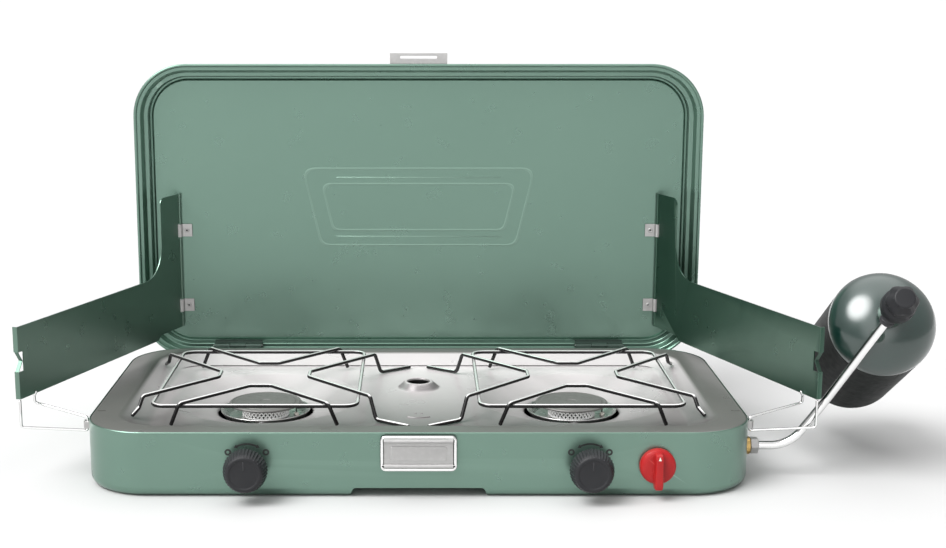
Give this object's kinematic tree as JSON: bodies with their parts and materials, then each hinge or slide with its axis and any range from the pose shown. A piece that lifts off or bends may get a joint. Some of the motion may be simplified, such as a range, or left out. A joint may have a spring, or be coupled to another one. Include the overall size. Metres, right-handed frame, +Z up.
{
  "type": "camping stove",
  "caption": "Portable gas camping stove with steel tray, wire grates, upright lid, folding wind guards with wire stays, turn knobs, rotary igniter and a regulator tube with gas cylinder",
  "frame": {"origin": "centre of the case's flat underside, on the surface it stands on", "axes": "+X to the operator's right, where the cylinder hangs; -Y to the front with the knobs; +Z up"},
  "size_m": [0.871, 0.3839, 0.3868],
  "materials": {
    "green_enamel": "satin baked enamel on sheet steel",
    "tray_steel": "bright rolled sheet steel",
    "bright_steel": "bright zinc plated steel",
    "wire_chrome": "bright plated rod and wire",
    "burner_alloy": "cast alloy, slightly matt",
    "brass": "machined",
    "dark_plastic": "moulded, fine satin",
    "red_plastic": "moulded, satin",
    "lead_rubber": "insulated wire",
    "ceramic_white": "glazed insulator",
    "bottle_paint": "glossy dark paint on drawn steel"
  },
  "bodies": {
    "case": {"case_shell": "green_enamel", "cooktop_tray": "tray_steel", "burner_bowl_left": "burner_alloy", "burner_bowl_right": "burner_alloy", "burner_screen_left": "bright_steel", "burner_screen_right": "bright_steel", "burner_cap_left": "burner_alloy", "burner_cap_right": "burner_alloy", "mixing_tube_left": "bright_steel", "mixing_tube_right": "bright_steel", "valve_body_left": "brass", "valve_body_right": "brass", "spark_electrode_left": "ceramic_white", "spark_electrode_right": "ceramic_white", "igniter_lead_left": "lead_rubber", "igniter_lead_right": "lead_rubber", "manifold_pipe": "bright_steel", "igniter_body": "dark_plastic", "inlet_fitting": "brass", "latch_frame": "bright_steel", "latch_pin": "wire_chrome", "case_hinge_leaf_left": "bright_steel", "case_hinge_leaf_right": "bright_steel", "hinge_pin_left": "wire_chrome", "hinge_pin_right": "wire_chrome", "stay_eye_left": "bright_steel", "stay_eye_right": "bright_steel"},
    "lid": {"lid_shell": "green_enamel", "lid_strike": "bright_steel", "lid_hinge_leaf_left": "bright_steel", "lid_hinge_leaf_right": "bright_steel", "guard_clip_lower_left": "bright_steel", "guard_clip_lower_right": "bright_steel", "guard_clip_upper_left": "bright_steel", "guard_clip_upper_right": "bright_steel"},
    "left_guard": {"wind_guard_left": "green_enamel"},
    "left_stay": {"guard_stay_left": "wire_chrome"},
    "left_pan_support": {"grate_left": "wire_chrome"},
    "left_control": {"control_knob_left": "dark_plastic", "valve_stem_left": "brass"},
    "right_guard": {"wind_guard_right": "green_enamel"},
    "right_stay": {"guard_stay_right": "wire_chrome"},
    "right_pan_support": {"grate_right": "wire_chrome"},
    "right_control": {"control_knob_right": "dark_plastic", "valve_stem_right": "brass"},
    "igniter_control": {"igniter_knob": "red_plastic", "igniter_shaft": "brass"},
    "latch_flap": {"latch_lever": "bright_steel"},
    "gas_supply": {"inlet_nut": "bright_steel", "regulator_tube": "wire_chrome", "regulator_body": "dark_plastic", "regulator_cap": "dark_plastic"},
    "gas_bottle": {"gas_cylinder": "bottle_paint", "cylinder_valve": "bright_steel", "relief_valve": "bright_steel"}
  },
  "joints": [
    {"name": "lid_hinge", "type": "hinge", "parent": "case", "child": "lid", "pos_m": [0, 0.1672, 0.0628], "axis": [-1, 0, 0], "range_deg": [0, 6]},
    {"name": "left_guard_hinge", "type": "hinge", "parent": "lid", "child": "left_guard", "pos_m": [-0.265, 0.1806, 0.15], "axis": [0, 0, 1], "range_deg": [0, 107]},
    {"name": "right_guard_hinge", "type": "hinge", "parent": "lid", "child": "right_guard", "pos_m": [0.265, 0.1806, 0.15], "axis": [0, 0, -1], "range_deg": [0, 102]},
    {"name": "left_stay_pivot", "type": "hinge", "parent": "case", "child": "left_stay", "pos_m": [-0.314, -0.098, 0.05], "axis": [0, 0, 1], "range_deg": [0, 75]},
    {"name": "right_stay_pivot", "type": "hinge", "parent": "case", "child": "right_stay", "pos_m": [0.314, -0.098, 0.05], "axis": [0, 0, -1], "range_deg": [0, 75]},
    {"name": "left_grate_lift", "type": "slide", "parent": "case", "child": "left_pan_support", "axis": [0, 0, 1], "range_m": [0, 0.06]},
    {"name": "right_grate_lift", "type": "slide", "parent": "case", "child": "right_pan_support", "axis": [0, 0, 1], "range_m": [0, 0.06]},
    {"name": "left_knob_turn", "type": "hinge", "parent": "case", "child": "left_control", "pos_m": [-0.156, -0.164, 0.031], "axis": [0, -1, 0], "range_deg": [0, 270]},
    {"name": "right_knob_turn", "type": "hinge", "parent": "case", "child": "right_control", "pos_m": [0.156, -0.164, 0.031], "axis": [0, -1, 0], "range_deg": [0, 270]},
    {"name": "igniter_turn", "type": "hinge", "parent": "case", "child": "igniter_control", "pos_m": [0.217, -0.164, 0.031], "axis": [0, -1, 0], "range_deg": [0, 90], "stiffness_Nm_per_rad": 0.05},
    {"name": "latch_hinge", "type": "hinge", "parent": "case", "child": "latch_flap", "pos_m": [0, -0.1686, 0.0312], "axis": [1, 0, 0], "range_deg": [0, 100]},
    {"name": "supply_swivel", "type": "hinge", "parent": "case", "child": "gas_supply", "pos_m": [0.314, -0.1, 0.03], "axis": [-1, 0, 0], "range_deg": [0, 12]},
    {"name": "bottle_screw", "type": "hinge", "parent": "gas_supply", "child": "gas_bottle", "pos_m": [0.436, -0.092, 0.146], "axis": [0.05, 0.8801, -0.4721], "continuous": true}
  ]
}
